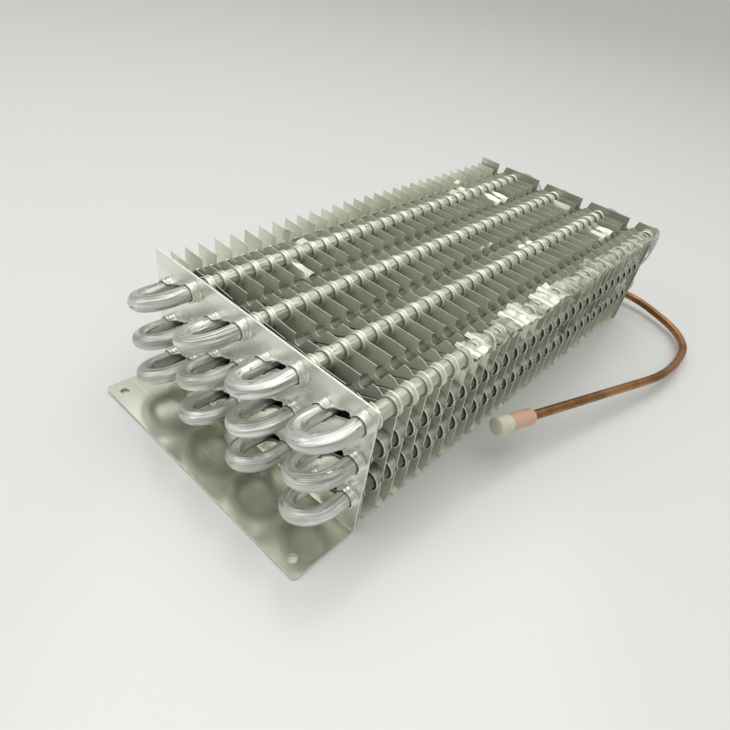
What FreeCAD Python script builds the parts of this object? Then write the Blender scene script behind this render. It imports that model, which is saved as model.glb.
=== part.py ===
import FreeCAD, Part
import math
import os
from FreeCAD import Vector

# Fin-and-tube evaporator of aluminium, with a foot at one end and a copper pipe at the other.
# One long tube is bent to and fro through a pack of fins. Twelve hairpins stand out of the near
# end plate, and every plate and fin has twelve oblique slots, so that it can be pushed on over them.
# X runs along the legs of the tube, Y across the pack and Z up. The origin lies between the two
# screw holes of the foot, on its underside. All sizes are in millimetres.

# Tube
tube_diameter = 8.0
column_count = 4
row_count = 3
column_pitch = 37.5
row_pitch = 22.0
hairpin_across = 20.5         # from a hairpin's upper leg to its lower one, along Y
hairpin_drop = 8.2            # and along Z
near_straight = 12.3          # straight tube outside the near plate
far_straight = 12.3           # and outside the far plate
slot_clearance = 0.05         # round the tube, in every slot

# Near end plate with its foot, and far end plate. Their height and width follow from the pattern
# of the tube's legs and from these margins, measured to the axes of the outermost legs.
margin_right = 5.5
margin_left = 11.5
margin_top = 8.4
margin_floor = 14.4
plate_thickness = 1.0
foot_depth = 35.6
fold_radius = 1.0             # inside the fold between plate and foot
foot_hole_diameter = 4.8
foot_hole_margin = 6.1        # from the foot's outer edge
foot_hole_edge = 7.8          # from the foot's sides
collar_height = 3.5           # rim drawn up round each slot of the near plate
collar_wall = 0.7

# Fins
fin_count = 30
fin_pitch = 10.0
fin_thickness = 0.2
first_fin_gap = 4.9           # from the near plate's inner face
last_fin_gap = 0.9            # to the far plate's inner face
fin_right_setback = 1.8       # inside the plates' right edge, so that the tube stands out a little
fin_left_overhang = 1.8       # beyond the plates' left edge
fin_top_setback = 5.0         # below the plates' top edge, level with the upper legs' tops
fin_floor_clearance = 0.6     # above the floor

# Notches in the top edge of the far plate and of the fins, one to the left of each upper leg.
# Their left side is upright and their right side leans.
notch_near_side = 8.5         # from the upper leg's axis to the notch's right side, at its mouth
notch_far_side = 15.5         # and to its left side
notch_lean = 2.5              # how far the right side comes in at the bottom
notch_bottom = 7.5            # below the top edge, in the far plate
fin_notch_shift = 3.0         # a fin's notches lie this much further left
fin_notch_bridge = 1.0        # metal left between a fin's notch and the slot below it

# Outlet: copper pipe, its joint with the tube and its end cap
pipe_diameter = 5.4
pipe_wall = 0.6
pipe_in_tube = 10.0           # length of pipe inside the tube's end
outlet_stub = 9.0             # tube beyond the far plate, at the outlet
joint_length = 14.0
joint_wall = 0.8
joint_clearance = 0.05
cap_length = 33.0
cap_sleeve_length = 19.0
cap_sleeve_diameter = 9.4
cap_head_diameter = 10.4
cap_end_wall = 6.0
cap_chamfer = 1.8
cap_rim_radius = 1.4

# Inlet at the far end, closed by a plain cap
inlet_stub = 12.0
inlet_cap_diameter = 10.4
inlet_cap_length = 14.0
inlet_cap_end_wall = 4.0
inlet_cap_rim_radius = 1.0

# Places that follow from the sizes
plate_width = margin_right + (column_count - 1) * column_pitch + hairpin_across + margin_left
plate_height = margin_top + (row_count - 1) * row_pitch + hairpin_drop + margin_floor
tube_radius = tube_diameter / 2
slot_radius = tube_radius + slot_clearance
near_face = foot_depth - foot_hole_margin      # outer face of the near plate
near_back = near_face + plate_thickness
first_fin = near_back + first_fin_gap          # near side of the first fin
far_back = first_fin + (fin_count - 1) * fin_pitch + fin_thickness + last_fin_gap
far_face = far_back + plate_thickness         # outer face of the far plate
right_edge = -plate_width / 2
left_edge = plate_width / 2
hairpin_span = math.hypot(hairpin_across, hairpin_drop)

# The pipe's route: in line with the outlet leg, then down and round behind the far bends, out past
# the right side in a wide hook, and back beside the fins, rising to its cap. A corner is given from
# the far plate's outer face, from the outlet leg along Y and Z, and by the radius of its bend.
pipe_corners = [
    (18.5, 0.0, 0.0, 10.0),
    (29.4, 0.0, -5.6, 9.0),
    (30.4, -33.3, -7.4, 46.8),
    (12.1, -77.3, -9.4, 44.1),
    (-46.3, -86.1, -6.6, 156.0),
]
pipe_end = (-211.8, -39.9, 9.7)

# The order in which the tube visits the hairpins: column, row and whether it enters by the
# upper leg. Columns count from the right and rows from the top.
snake = [
    (0, 2, False), (0, 1, False), (0, 0, True),
    (1, 0, True), (1, 1, False), (1, 2, True),
    (2, 2, True), (2, 1, False), (2, 0, True),
    (3, 0, True), (3, 1, False), (3, 2, True),
]


def leg_place(column, row, upper):
    """Y and Z of one leg of the hairpin in this column and row."""
    y = right_edge + margin_right + column * column_pitch
    z = plate_height - margin_top - row * row_pitch
    if upper:
        return y, z
    return y + hairpin_across, z - hairpin_drop


def hairpin_places():
    """The two leg places of every hairpin."""
    for column in range(column_count):
        for row in range(row_count):
            yield leg_place(column, row, True), leg_place(column, row, False)


def along_hairpin(upper, lower, along, across):
    """A point in the plane of a plate, measured from the upper leg along and across the slot."""
    uy, uz = (lower[0] - upper[0]) / hairpin_span, (lower[1] - upper[1]) / hairpin_span
    return upper[0] + uy * along - uz * across, upper[1] + uz * along + uy * across


def polygon_wire(points, x):
    """A closed wire through (y, z) points in the plane at x."""
    corners = [Vector(x, y, z) for y, z in points]
    return Part.makePolygon(corners + corners[:1])


def round_slot_wire(upper, lower, radius, x):
    """A slot round both legs of a hairpin, with half-round ends."""
    def at(along, across):
        y, z = along_hairpin(upper, lower, along, across)
        return Vector(x, y, z)
    span = hairpin_span
    edges = [
        Part.LineSegment(at(0, radius), at(span, radius)).toShape(),
        Part.Arc(at(span, radius), at(span + radius, 0), at(span, -radius)).toShape(),
        Part.LineSegment(at(span, -radius), at(0, -radius)).toShape(),
        Part.Arc(at(0, -radius), at(-radius, 0), at(0, radius)).toShape(),
    ]
    return Part.Wire(edges)


def square_slot_wire(upper, lower, radius, x):
    """The same slot with square ends, for the thin fins."""
    corners = [(-radius, -radius), (hairpin_span + radius, -radius),
               (hairpin_span + radius, radius), (-radius, radius)]
    return polygon_wire([along_hairpin(upper, lower, a, b) for a, b in corners], x)


def sheet_with_slots(outline, slots, thickness):
    """A flat sheet with holes, thickened along X."""
    face = Part.makeFace([outline] + slots, "Part::FaceMakerBullseye")
    return face.extrude(Vector(thickness, 0, 0))


def round_slots(x):
    return [round_slot_wire(upper, lower, slot_radius, x) for upper, lower in hairpin_places()]


def collars():
    """Rims drawn up round the slots of the near plate, on its outer side."""
    start = near_face - collar_height
    for upper, lower in hairpin_places():
        outside = round_slot_wire(upper, lower, slot_radius + collar_wall, start)
        inside = round_slot_wire(upper, lower, slot_radius, start)
        yield sheet_with_slots(outside, [inside], collar_height + plate_thickness)


def near_end_plate():
    """Upright plate with twelve collared slots, folded outwards into a foot with two screw holes."""
    outer = fold_radius + plate_thickness
    upright = sheet_with_slots(
        polygon_wire([(right_edge, outer), (left_edge, outer),
                      (left_edge, plate_height), (right_edge, plate_height)], near_face),
        round_slots(near_face), plate_thickness)
    centre = Vector(near_face - fold_radius, right_edge, outer)
    fold = Part.makeCylinder(outer, plate_width, centre, Vector(0, 1, 0))
    fold = fold.cut(Part.makeCylinder(fold_radius, plate_width, centre, Vector(0, 1, 0)))
    quarter = Part.makeBox(outer, plate_width, outer, Vector(near_face - fold_radius, right_edge, 0))
    fold = fold.common(quarter)
    foot = Part.makeBox(foot_depth - fold_radius, plate_width, plate_thickness,
                        Vector(near_face - foot_depth, right_edge, 0))
    for side in (-1, 1):
        place = Vector(0, side * (plate_width / 2 - foot_hole_edge), 0)
        foot = foot.cut(Part.makeCylinder(foot_hole_diameter / 2, plate_thickness, place))
    return upright.fuse([fold, foot] + list(collars())).removeSplitter()


def notched_outline(right, left, bottom, top, shift, floor_at, x):
    """Upright rectangle with one notch in its top edge for each column."""
    points = [(left, bottom), (right, bottom), (right, top)]
    for column in range(column_count):
        leg = leg_place(column, 0, True)
        mouth = leg[0] + shift + notch_near_side
        inner = mouth + notch_lean
        far = leg[0] + shift + notch_far_side
        points += [(mouth, top), (inner, floor_at(leg, inner)), (far, floor_at(leg, far)), (far, top)]
    points.append((left, top))
    return polygon_wire(points, x)


def level_floor(leg, y):
    """Height of a notch's floor in the far plate."""
    return plate_height - notch_bottom


def floor_over_slot(leg, y):
    """Height of a notch's floor in a fin, which runs alongside the slot below it."""
    slot_top = leg[1] + (slot_radius * hairpin_span - hairpin_drop * (y - leg[0])) / hairpin_across
    return slot_top + fin_notch_bridge


def far_end_plate():
    """Upright plate with the same slots and with notches, standing on its lower edge."""
    outline = notched_outline(right_edge, left_edge, 0, plate_height, 0, level_floor, far_back)
    return sheet_with_slots(outline, round_slots(far_back), plate_thickness)


def fin(number):
    """Thin notched sheet. The slots of the first column open through its right edge, and those of
    the top row through its top edge, so the scrap between the two at the corner is left out."""
    x = first_fin + number * fin_pitch
    outline = notched_outline(right_edge + fin_right_setback, left_edge + fin_left_overhang,
                              fin_floor_clearance, plate_height - fin_top_setback,
                              fin_notch_shift, floor_over_slot, x)
    slots = [square_slot_wire(upper, lower, slot_radius, x) for upper, lower in hairpin_places()]
    pieces = Part.Face(outline).cut([Part.Face(wire) for wire in slots]).Faces
    sheet = max(pieces, key=lambda face: face.Area)
    return sheet.extrude(Vector(fin_thickness, 0, 0))


def half_bend(first, second, x, outwards):
    """The centre line of a bend between two legs, towards +X (outwards 1) or -X (outwards -1)."""
    start = Vector(x, *first)
    end = Vector(x, *second)
    crown = (start + end) / 2 + Vector(outwards * (end - start).Length / 2, 0, 0)
    return Part.Arc(start, crown, end).toShape()


def straight(place, start, end):
    """The centre line of a leg, along X."""
    return Part.LineSegment(Vector(start, *place), Vector(end, *place)).toShape()


def coil_route():
    """The tube's whole centre line: two legs and a near bend for each hairpin, then a far bend."""
    near_end = near_face - near_straight
    far_end = far_face + far_straight
    edges = []
    start = far_face + outlet_stub
    previous = None
    for column, row, upper_first in snake:
        entry = leg_place(column, row, upper_first)
        leaving = leg_place(column, row, not upper_first)
        if previous is not None:
            edges.append(half_bend(previous, entry, far_end, 1))
        edges.append(straight(entry, start, near_end))
        edges.append(half_bend(entry, leaving, near_end, -1))
        last = (column, row, upper_first) == snake[-1]
        edges.append(straight(leaving, near_end, far_face + inlet_stub if last else far_end))
        start = far_end
        previous = leaving
    return Part.Wire(edges)


def tube_coil():
    """The whole tube, swept along its route, with a socket for the copper pipe in its outlet."""
    route = coil_route()
    start = Vector(far_face + outlet_stub, *outlet_place())
    section = Part.Wire(Part.makeCircle(tube_radius, start, Vector(1, 0, 0)))
    coil = route.makePipeShell([section], True, False)
    socket = Part.makeCylinder(pipe_diameter / 2 + joint_clearance, pipe_in_tube,
                               start - Vector(pipe_in_tube, 0, 0), Vector(1, 0, 0))
    return coil.cut(socket)


def outlet_place():
    column, row, upper_first = snake[0]
    return leg_place(column, row, upper_first)


def inlet_place():
    column, row, upper_first = snake[-1]
    return leg_place(column, row, not upper_first)


def from_outlet(x, y, z):
    """A pipe point: from the far plate's outer face, and from the outlet leg along Y and Z."""
    return Vector(far_face, *outlet_place()) + Vector(x, y, z)


def pipe_route():
    """Straight runs joined by tangent arcs, from the outlet leg to the pipe's end."""
    start = from_outlet(outlet_stub - pipe_in_tube, 0, 0)
    points = [start] + [from_outlet(*corner[:3]) for corner in pipe_corners] + [from_outlet(*pipe_end)]
    radii = [corner[3] for corner in pipe_corners]
    edges = []
    at = start
    for before, corner, after, radius in zip(points, points[1:], points[2:], radii):
        back = (before - corner).normalize()
        on = (after - corner).normalize()
        half_turn = (math.pi - back.getAngle(on)) / 2
        reach = radius * math.tan(half_turn)
        enter = corner + back * reach
        leave = corner + on * reach
        inward = (back + on).normalize()
        bulge = corner + inward * (radius / math.cos(half_turn) - radius)
        edges.append(Part.LineSegment(at, enter).toShape())
        edges.append(Part.Arc(enter, bulge, leave).toShape())
        at = leave
    edges.append(Part.LineSegment(at, points[-1]).toShape())
    return Part.Wire(edges)


def outlet_pipe():
    """Copper pipe, open at both ends."""
    route = pipe_route()
    start = route.Edges[0].Vertexes[0].Point
    profiles = []
    for radius in (pipe_diameter / 2, pipe_diameter / 2 - pipe_wall):
        profiles.append(Part.Wire(Part.makeCircle(radius, start, Vector(1, 0, 0))))
    outside, bore = [route.makePipeShell([wire], True, False) for wire in profiles]
    return outside.cut(bore)


def joint_sleeve():
    """Stepped sleeve over the end of the tube and the pipe that comes out of it."""
    y, z = outlet_place()
    middle = far_face + outlet_stub
    start = middle - joint_length / 2
    end = middle + joint_length / 2
    outer = tube_radius + joint_clearance + joint_wall
    small = pipe_diameter / 2 + joint_clearance
    wide = tube_radius + joint_clearance
    profile = [(start, wide), (middle, wide), (middle, small), (end, small),
               (end, small + joint_wall), (middle + joint_wall, outer), (start, outer)]
    wire = Part.makePolygon([Vector(x, y, z + r) for x, r in profile + profile[:1]])
    return Part.Face(wire).revolve(Vector(0, y, z), Vector(1, 0, 0), 360)


def outlet_cap():
    """Soft cap pushed over the pipe's end: a thin sleeve and a slightly wider, closed head."""
    bore = pipe_diameter / 2 + joint_clearance
    sleeve = cap_sleeve_diameter / 2
    head = cap_head_diameter / 2
    covered = cap_length - cap_end_wall
    step = (head - sleeve) * 2
    outline = [
        Part.LineSegment(Vector(0, bore, 0), Vector(covered, bore, 0)),
        Part.LineSegment(Vector(covered, bore, 0), Vector(covered, 0, 0)),
        Part.LineSegment(Vector(covered, 0, 0), Vector(cap_length, 0, 0)),
        Part.LineSegment(Vector(cap_length, 0, 0), Vector(cap_length, head - cap_rim_radius, 0)),
        Part.Arc(Vector(cap_length, head - cap_rim_radius, 0),
                 Vector(cap_length - cap_rim_radius * (1 - math.sqrt(0.5)),
                        head - cap_rim_radius * (1 - math.sqrt(0.5)), 0),
                 Vector(cap_length - cap_rim_radius, head, 0)),
        Part.LineSegment(Vector(cap_length - cap_rim_radius, head, 0),
                         Vector(cap_sleeve_length + step, head, 0)),
        Part.LineSegment(Vector(cap_sleeve_length + step, head, 0), Vector(cap_sleeve_length, sleeve, 0)),
        Part.LineSegment(Vector(cap_sleeve_length, sleeve, 0), Vector(cap_chamfer, sleeve, 0)),
        Part.LineSegment(Vector(cap_chamfer, sleeve, 0), Vector(0, bore + 0.8 * (sleeve - bore), 0)),
        Part.LineSegment(Vector(0, bore + 0.8 * (sleeve - bore), 0), Vector(0, bore, 0)),
    ]
    face = Part.Face(Part.Wire([line.toShape() for line in outline]))
    cap = face.revolve(Vector(0, 0, 0), Vector(1, 0, 0), 360)
    last = pipe_route().Edges[-1]
    tail, tip = last.Vertexes[0].Point, last.Vertexes[-1].Point
    along = (tip - tail).normalize()
    cap.Placement = FreeCAD.Placement(tip - along * covered, FreeCAD.Rotation(Vector(1, 0, 0), along))
    return cap


def inlet_cap():
    """Plain cap over the inlet stub."""
    y, z = inlet_place()
    end = far_face + inlet_stub
    mouth = end + inlet_cap_end_wall - inlet_cap_length
    body = Part.makeCylinder(inlet_cap_diameter / 2, inlet_cap_length, Vector(mouth, y, z), Vector(1, 0, 0))
    bore = Part.makeCylinder(tube_radius + joint_clearance, end - mouth, Vector(mouth, y, z), Vector(1, 0, 0))
    cap = body.cut(bore)
    rim = [edge for edge in cap.Edges if edge.BoundBox.XMin > end + inlet_cap_end_wall / 2]
    return cap.makeFillet(inlet_cap_rim_radius, rim)


def build():
    nodes = {
        "near_end_plate": near_end_plate(),
        "far_end_plate": far_end_plate(),
        "tube_coil": tube_coil(),
        "outlet_pipe": outlet_pipe(),
        "joint_sleeve": joint_sleeve(),
        "outlet_cap": outlet_cap(),
        "inlet_cap": inlet_cap(),
    }
    for number in range(fin_count):
        nodes["fin_%02d" % (number + 1)] = fin(number)
    return nodes


os.makedirs("parts", exist_ok=True)
for name, shape in build().items():
    solid = shape.Solids[0] if len(shape.Solids) == 1 else shape
    print("%s: %d solid, valid %s, %.1f mm3" % (name, len(shape.Solids), solid.isValid(), solid.Volume))
    solid.exportStep("parts/%s.step" % name)
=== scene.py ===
import math

import bmesh
import bpy
from mathutils import Euler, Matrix, Vector, geometry, noise


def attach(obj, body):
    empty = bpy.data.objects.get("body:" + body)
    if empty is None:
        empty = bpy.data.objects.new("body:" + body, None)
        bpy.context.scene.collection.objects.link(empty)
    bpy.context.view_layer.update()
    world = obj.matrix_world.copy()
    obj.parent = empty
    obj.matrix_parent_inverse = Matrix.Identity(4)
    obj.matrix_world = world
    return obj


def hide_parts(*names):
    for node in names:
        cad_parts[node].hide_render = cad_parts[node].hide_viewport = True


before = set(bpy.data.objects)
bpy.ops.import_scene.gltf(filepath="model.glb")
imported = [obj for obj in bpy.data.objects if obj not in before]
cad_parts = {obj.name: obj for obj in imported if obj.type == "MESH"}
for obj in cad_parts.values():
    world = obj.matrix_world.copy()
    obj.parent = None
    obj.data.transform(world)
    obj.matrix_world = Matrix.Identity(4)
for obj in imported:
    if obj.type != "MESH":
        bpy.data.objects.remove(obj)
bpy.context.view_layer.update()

# An aluminium fin-and-tube evaporator with a screw foot and a copper outlet pipe.
# Lengths are in millimetres until a mesh is made. X runs along the tube, Y across, Z up.

MM = 0.001

# Sizes of the tube and the pattern of its legs. A hairpin's lower leg lies ACROSS to the left of its
# upper leg and DROP below it. STRAIGHT is what stands out of a plate before each bend.
TUBE_RADIUS = 4.0
COLUMNS = 4
ROWS = 3
COLUMN_PITCH = 37.5
ROW_PITCH = 22.0
ACROSS = 20.5
DROP = 8.2
SPAN = math.hypot(ACROSS, DROP)
MARGIN_RIGHT = 5.5
MARGIN_TOP = 8.4
STRAIGHT = 12.3
OUTLET_STUB = 9.0
INLET_STUB = 12.0
TOP_LEG_RISE = 0.7

# Sizes of the plates. NEAR_FACE and FAR_FACE are their outer faces. PLATE_HOLE is the holes' radius
# round the legs, and PLATE_SLIT half the width of the slit between them.
RIGHT = -75.0
LEFT = 75.0
TOP = 75.0
NEAR_FACE = 29.5
FAR_FACE = 327.5
PLATE_THICKNESS = 1.0
PLATE_FOLD = 1.5
PLATE_HOLE = 4.75
PLATE_SLIT = 2.7
FOOT_EDGE = -6.1
FOOT_CORNER = 1.2
FOOT_HOLE_Y = 67.2
FOOT_HOLE_RADIUS = 2.4

# Sizes of the fins. FIN_HOLE and FIN_SLIT are as for the plates. Below FOOT_CURL a fin's lower right
# corner curls. The first fin's sheet is painted dark across the middle of its width, as painted shade
# for the gap behind the near plate. Smaller turns than LEAST_TURN, in radians, are left out.
FIN_COUNT = 30
FIN_PITCH = 10.0
FIN_START = 35.4
FIN_RIGHT = -73.2
FIN_LEFT = 76.8
FIN_TOP = 70.0
FIN_BOTTOM = 0.6
FIN_THICKNESS = 0.24
FIN_HOLE = 4.7
FIN_SLIT = 0.5
FOOT_CURL = 7.0
SHADE_RIGHT = RIGHT + 9
SHADE_LEFT = LEFT - 14
LEAST_TURN = 0.01

# The way of the tube: column and row of each hairpin, and whether its upper leg comes first
SNAKE = [
    (0, 2, False), (0, 1, False), (0, 0, True),
    (1, 0, True), (1, 1, False), (1, 2, True),
    (2, 2, True), (2, 1, False), (2, 0, True),
    (3, 0, True), (3, 1, False), (3, 2, True),
]

# The copper pipe: the corners of its centre line from the outlet's place, each with its arc's radius
PIPE_RADIUS = 2.7
PIPE_IN_TUBE = 10.0
PIPE_CORNERS = [
    (18.5, 0.0, 0.0, 10.0),
    (29.4, 0.0, -5.6, 9.0),
    (30.4, -33.3, -7.4, 46.8),
    (12.1, -77.3, -9.4, 44.1),
    (-46.3, -86.1, -6.6, 156.0),
]
PIPE_END = (-211.8, -39.9, 9.7)

# The soft cap's outline from its open end, as (place along it, radius). Its open end lies CAP_BACK
# behind the pipe's tip.
CAP_BACK = 28.0
CAP_OUTLINE = [(0.0, 2.75), (0.0, 4.1), (0.5, 4.5), (1.2, 4.68), (2.2, 4.7), (16.6, 4.72), (17.2, 4.78),
               (17.8, 5.0), (18.6, 5.1), (25.6, 5.08), (26.5, 4.9), (26.9, 4.4), (27.1, 3.8), (27.1, 0.02)]


def leg_place(column, row, upper):
    """Y and Z of one leg of a hairpin."""
    y = RIGHT + MARGIN_RIGHT + column * COLUMN_PITCH
    z = TOP - MARGIN_TOP - row * ROW_PITCH
    if upper:
        return y, z
    return y + ACROSS, z - DROP


def hairpins():
    """Column, row, upper leg and lower leg of every hairpin."""
    for column in range(COLUMNS):
        for row in range(ROWS):
            yield column, row, leg_place(column, row, True), leg_place(column, row, False)


def smooth(low, high, value):
    """0 below low, 1 above high and a soft step between."""
    t = min(1.0, max(0.0, (value - low) / (high - low)))
    return t * t * (3 - 2 * t)


def wobble(seed, *place):
    """Smooth noise from -1 to 1."""
    point = Vector((place + (0.0, 0.0, 0.0))[:3])
    return noise.noise(point + Vector((seed * 17.31, seed * 5.17, seed * 11.7)))


# Materials

class Socket:
    """An output socket that takes part in sums."""

    def __init__(self, nodes, socket):
        self.nodes = nodes
        self.socket = socket

    def maths(self, operation, *values):
        """A Math node on values and sockets."""
        return self.nodes.add("ShaderNodeMath", {"operation": operation}, dict(enumerate(values)))

    def __add__(self, other):
        return self.maths("ADD", self, other)

    __radd__ = __add__

    def __mul__(self, other):
        return self.maths("MULTIPLY", self, other)

    __rmul__ = __mul__

    def __sub__(self, other):
        return self.maths("SUBTRACT", self, other)

    def __rsub__(self, other):
        return self.maths("SUBTRACT", other, self)

    def step(self, low, high):
        """0 below low, 1 above high and a soft step between."""
        return self.nodes.add("ShaderNodeMapRange", {"interpolation_type": "SMOOTHSTEP"},
                              {"Value": self, "From Min": low, "From Max": high})


class Nodes:
    """Adds nodes to one tree."""

    def __init__(self, tree):
        self.tree = tree

    def put(self, socket, value):
        """Links or sets an input socket."""
        if isinstance(value, Socket):
            self.tree.links.new(value.socket, socket)
        else:
            socket.default_value = value

    def add(self, kind, settings=None, values=None, output=0):
        """A node of a kind with its settings and the values or links of its sockets."""
        node = self.tree.nodes.new(kind)
        for name, setting in (settings or {}).items():
            if name == "stops":
                self.set_stops(node.color_ramp.elements, setting)
            else:
                setattr(node, name, setting)
        for name, value in (values or {}).items():
            self.put(node.inputs[name], value)
        return Socket(self, node.outputs[output])

    def set_stops(self, elements, stops):
        """Sets a colour ramp's stops."""
        while len(elements) < len(stops):
            elements.new(0.5)
        for element, (place, colour) in zip(elements, stops):
            element.position = place
            element.color = colour


class Finish(Nodes):
    """A material on one Principled shader."""

    def __init__(self, name, **constants):
        self.material = bpy.data.materials.new(name)
        self.material.use_nodes = True
        super().__init__(self.material.node_tree)
        self.shader = self.tree.nodes["Principled BSDF"]
        self.coat(**constants)

    def coat(self, **values):
        """Sets or links the shader's sockets."""
        for name, value in values.items():
            self.put(self.shader.inputs[name.replace("_", " ")], value)
        return self.material

    def place(self, stretch=(1, 1, 1), turn=(0, 0, 0)):
        """The place on the object in metres, scaled along the axes."""
        here = self.add("ShaderNodeTexCoord", output="Object")
        return self.add("ShaderNodeMapping", None, {"Vector": here, "Scale": stretch, "Rotation": turn})

    def distance(self, axis):
        """The place on the object along one axis in metres."""
        return self.add("ShaderNodeSeparateXYZ", None, {0: self.place()}, axis)

    def along_tube(self, stretch=(1, 1, 1)):
        """The place along and round a swept tube in metres, scaled."""
        here = self.add("ShaderNodeAttribute", {"attribute_name": "wrap"}, output="Vector")
        return self.add("ShaderNodeMapping", None, {"Vector": here, "Scale": stretch})

    def cloud(self, where, scale, detail=3.0, twist=0.0):
        """Noise from 0 to 1."""
        return self.add("ShaderNodeTexNoise", None,
                        {"Vector": where, "Scale": scale, "Detail": detail, "Distortion": twist})

    def mix(self, first, second, factor):
        """From the first colour to the second."""
        return self.add("ShaderNodeMix", {"data_type": "RGBA"}, {0: factor, 6: first, 7: second}, 2)

    def bump(self, height, distance):
        """A bump from a height, distance metres high."""
        return self.add("ShaderNodeBump", None, {"Height": height, "Distance": distance})


def grey(level, warmth=0.0):
    """A metal's colour: a grey, a little yellow where warmth is above 0."""
    return (level, level * (1 + 0.06 * warmth), level * (1 - warmth), 1)


def plate_finish(name, bright, dull, scratch, roughness, foot_reflection=False):
    """Rolled sheet with soft smears, faint rolling lines and a few hairline scratches.

    roughness is the clean sheet's, then what smears and lines add. The foot flag lays an olive painted
    reflection over the foot.
    """
    finish = Finish(name, Metallic=0.85)
    smears = finish.cloud(finish.place((1, 0.5, 1.6)), 30, 4, 0.8).step(0.36, 0.66)
    lines = finish.cloud(finish.place((1, 0.03, 1)), 900, 2)
    scratches = finish.cloud(finish.place((1, 0.04, 1), (0.5, 0, 0)), 420, 1).step(0.72, 0.76)
    colour = finish.mix(bright, dull, smears * 0.8)
    rough = roughness[0] + smears * roughness[1] + lines * roughness[2]
    if foot_reflection:
        # Painted reflection: the foot is tinted olive for the dark underside it reflects.
        foot = 1 - finish.distance("Z").step(0.002, 0.014)
        colour = finish.mix(colour, grey(0.66, 0.15), foot * 0.9)
        rough = rough - foot * 0.07
    colour = finish.mix(colour, scratch, scratches * 0.5)
    relief = finish.cloud(finish.place((1, 0.6, 1)), 22, 1) + lines * 0.006
    return finish.coat(Base_Color=colour, Roughness=rough, Normal=finish.bump(relief, 0.0012))


def fin_finish():
    """Thin soft sheet: olive grey, dull in patches, finely streaked, and paler along its right side as
    painted light.
    """
    finish = Finish("thin aluminium fin", Metallic=0.6)
    # Painted light: the sheet is paler along its right side, below the top.
    right = 1 - finish.distance("Y").step(-0.069, -0.058)
    side = right * (1 - finish.distance("Z").step(0.064, 0.069))
    patches = finish.cloud(finish.place((3, 1, 1)), 40, 4, 0.5).step(0.34, 0.68)
    streaks = finish.cloud(finish.place((2, 1, 0.25), (0.5, 0, 0)), 260, 2).step(0.5, 0.75)
    colour = finish.mix(grey(0.82, 0.14), grey(0.66, 0.18), patches)
    colour = finish.mix(colour, grey(0.90, 0.11), streaks * 0.35)
    colour = finish.mix(colour, grey(0.90, 0.13), side * (0.75 - patches * 0.35))
    relief = finish.cloud(finish.place((3, 1, 1)), 70, 2) + streaks * 0.12
    return finish.coat(Base_Color=colour, Roughness=0.38 + patches * 0.10,
                       Normal=finish.bump(relief, 0.0004))


def dull_shaded_fin_finish():
    """Soft dull sheet painted dark olive as painted shade, with darker patches."""
    finish = Finish("dull fin sheet with painted shade", Metallic=0.5)
    patches = finish.cloud(finish.place(), 140, 4, 0.5).step(0.3, 0.7)
    colour = finish.mix(grey(0.50, 0.17), grey(0.27, 0.21), patches)
    return finish.coat(Base_Color=colour, Roughness=0.42 + patches * 0.1,
                       Normal=finish.bump(patches, 0.0002))


def shaded_first_fin_finish():
    """The first fin's sheet, painted dark: painted shade for the gap behind the near plate."""
    finish = Finish("first fin with painted shade", Metallic=0.4)
    patches = finish.cloud(finish.place(), 60, 3).step(0.3, 0.7)
    colour = finish.mix(grey(0.05, 0.10), grey(0.22, 0.14), patches * 0.6)
    return finish.coat(Base_Color=colour, Roughness=0.45 + patches * 0.1)


def edge_highlight_finish():
    """The sheared edge of thin sheet, bright with painted highlight."""
    finish = Finish("sheared edge with painted highlight", Metallic=0.3)
    marks = finish.cloud(finish.place(), 400, 2).step(0.35, 0.65)
    colour = finish.mix(grey(0.95, 0.06), grey(0.78, 0.10), marks)
    return finish.coat(Base_Color=colour, Roughness=0.35 + marks * 0.2)


def tube_finish():
    """Drawn tube: lengthwise streaks that follow the bends, and scuffs. It is duller between the plates,
    and darkest below the top legs, where the dark is painted shade.
    """
    finish = Finish("drawn aluminium tube")
    streaks = finish.cloud(finish.along_tube((0.07, 1, 1)), 430, 3).step(0.36, 0.68)
    wide = finish.cloud(finish.along_tube((0.12, 1, 1)), 190, 2, 0.4).step(0.35, 0.70)
    bloom = finish.cloud(finish.place(), 60, 4, 0.6).step(0.38, 0.68)
    scuffs = finish.cloud(finish.along_tube((0.3, 1, 1)), 520, 2).step(0.63, 0.70)
    length = finish.distance("X")
    packed = length.step(0.026, 0.036) * (1 - length.step(0.324, 0.330))
    # Painted shade: the tube between the plates is darkened below the top legs.
    low_shade = packed * (1 - finish.distance("Z").step(0.0622, 0.0635))
    marks = streaks * 0.65 + wide * 0.42
    colour = finish.mix(grey(0.96, 0.03), grey(0.40, 0.09), marks * (1 - packed * 0.5))
    colour = finish.mix(colour, grey(0.62, 0.10), bloom * 0.6)
    colour = finish.mix(colour, grey(0.30, 0.12), scuffs * (0.6 - packed * 0.3))
    colour = finish.mix(colour, grey(0.54, 0.15), packed * 0.7)
    colour = finish.mix(colour, grey(0.15, 0.22), low_shade * 0.9)
    relief = streaks * 0.6 + wide + scuffs * 0.5
    return finish.coat(Base_Color=colour, Metallic=0.9 - packed * 0.25,
                       Roughness=0.34 + bloom * 0.12 + streaks * 0.06 + packed * 0.13,
                       Normal=finish.bump(relief, 0.0006))


def copper_finish():
    """Old soft copper with brown patches."""
    finish = Finish("browned copper", Metallic=1.0)
    brown = finish.cloud(finish.along_tube((0.5, 1, 1)), 90, 4, 0.5).step(0.36, 0.68)
    lines = finish.cloud(finish.along_tube((0.05, 1, 1)), 700, 2)
    colour = finish.mix((0.50, 0.26, 0.11, 1), (0.26, 0.13, 0.055, 1), brown)
    return finish.coat(Base_Color=colour, Roughness=0.34 + brown * 0.12,
                       Normal=finish.bump(lines, 0.00012))


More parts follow.
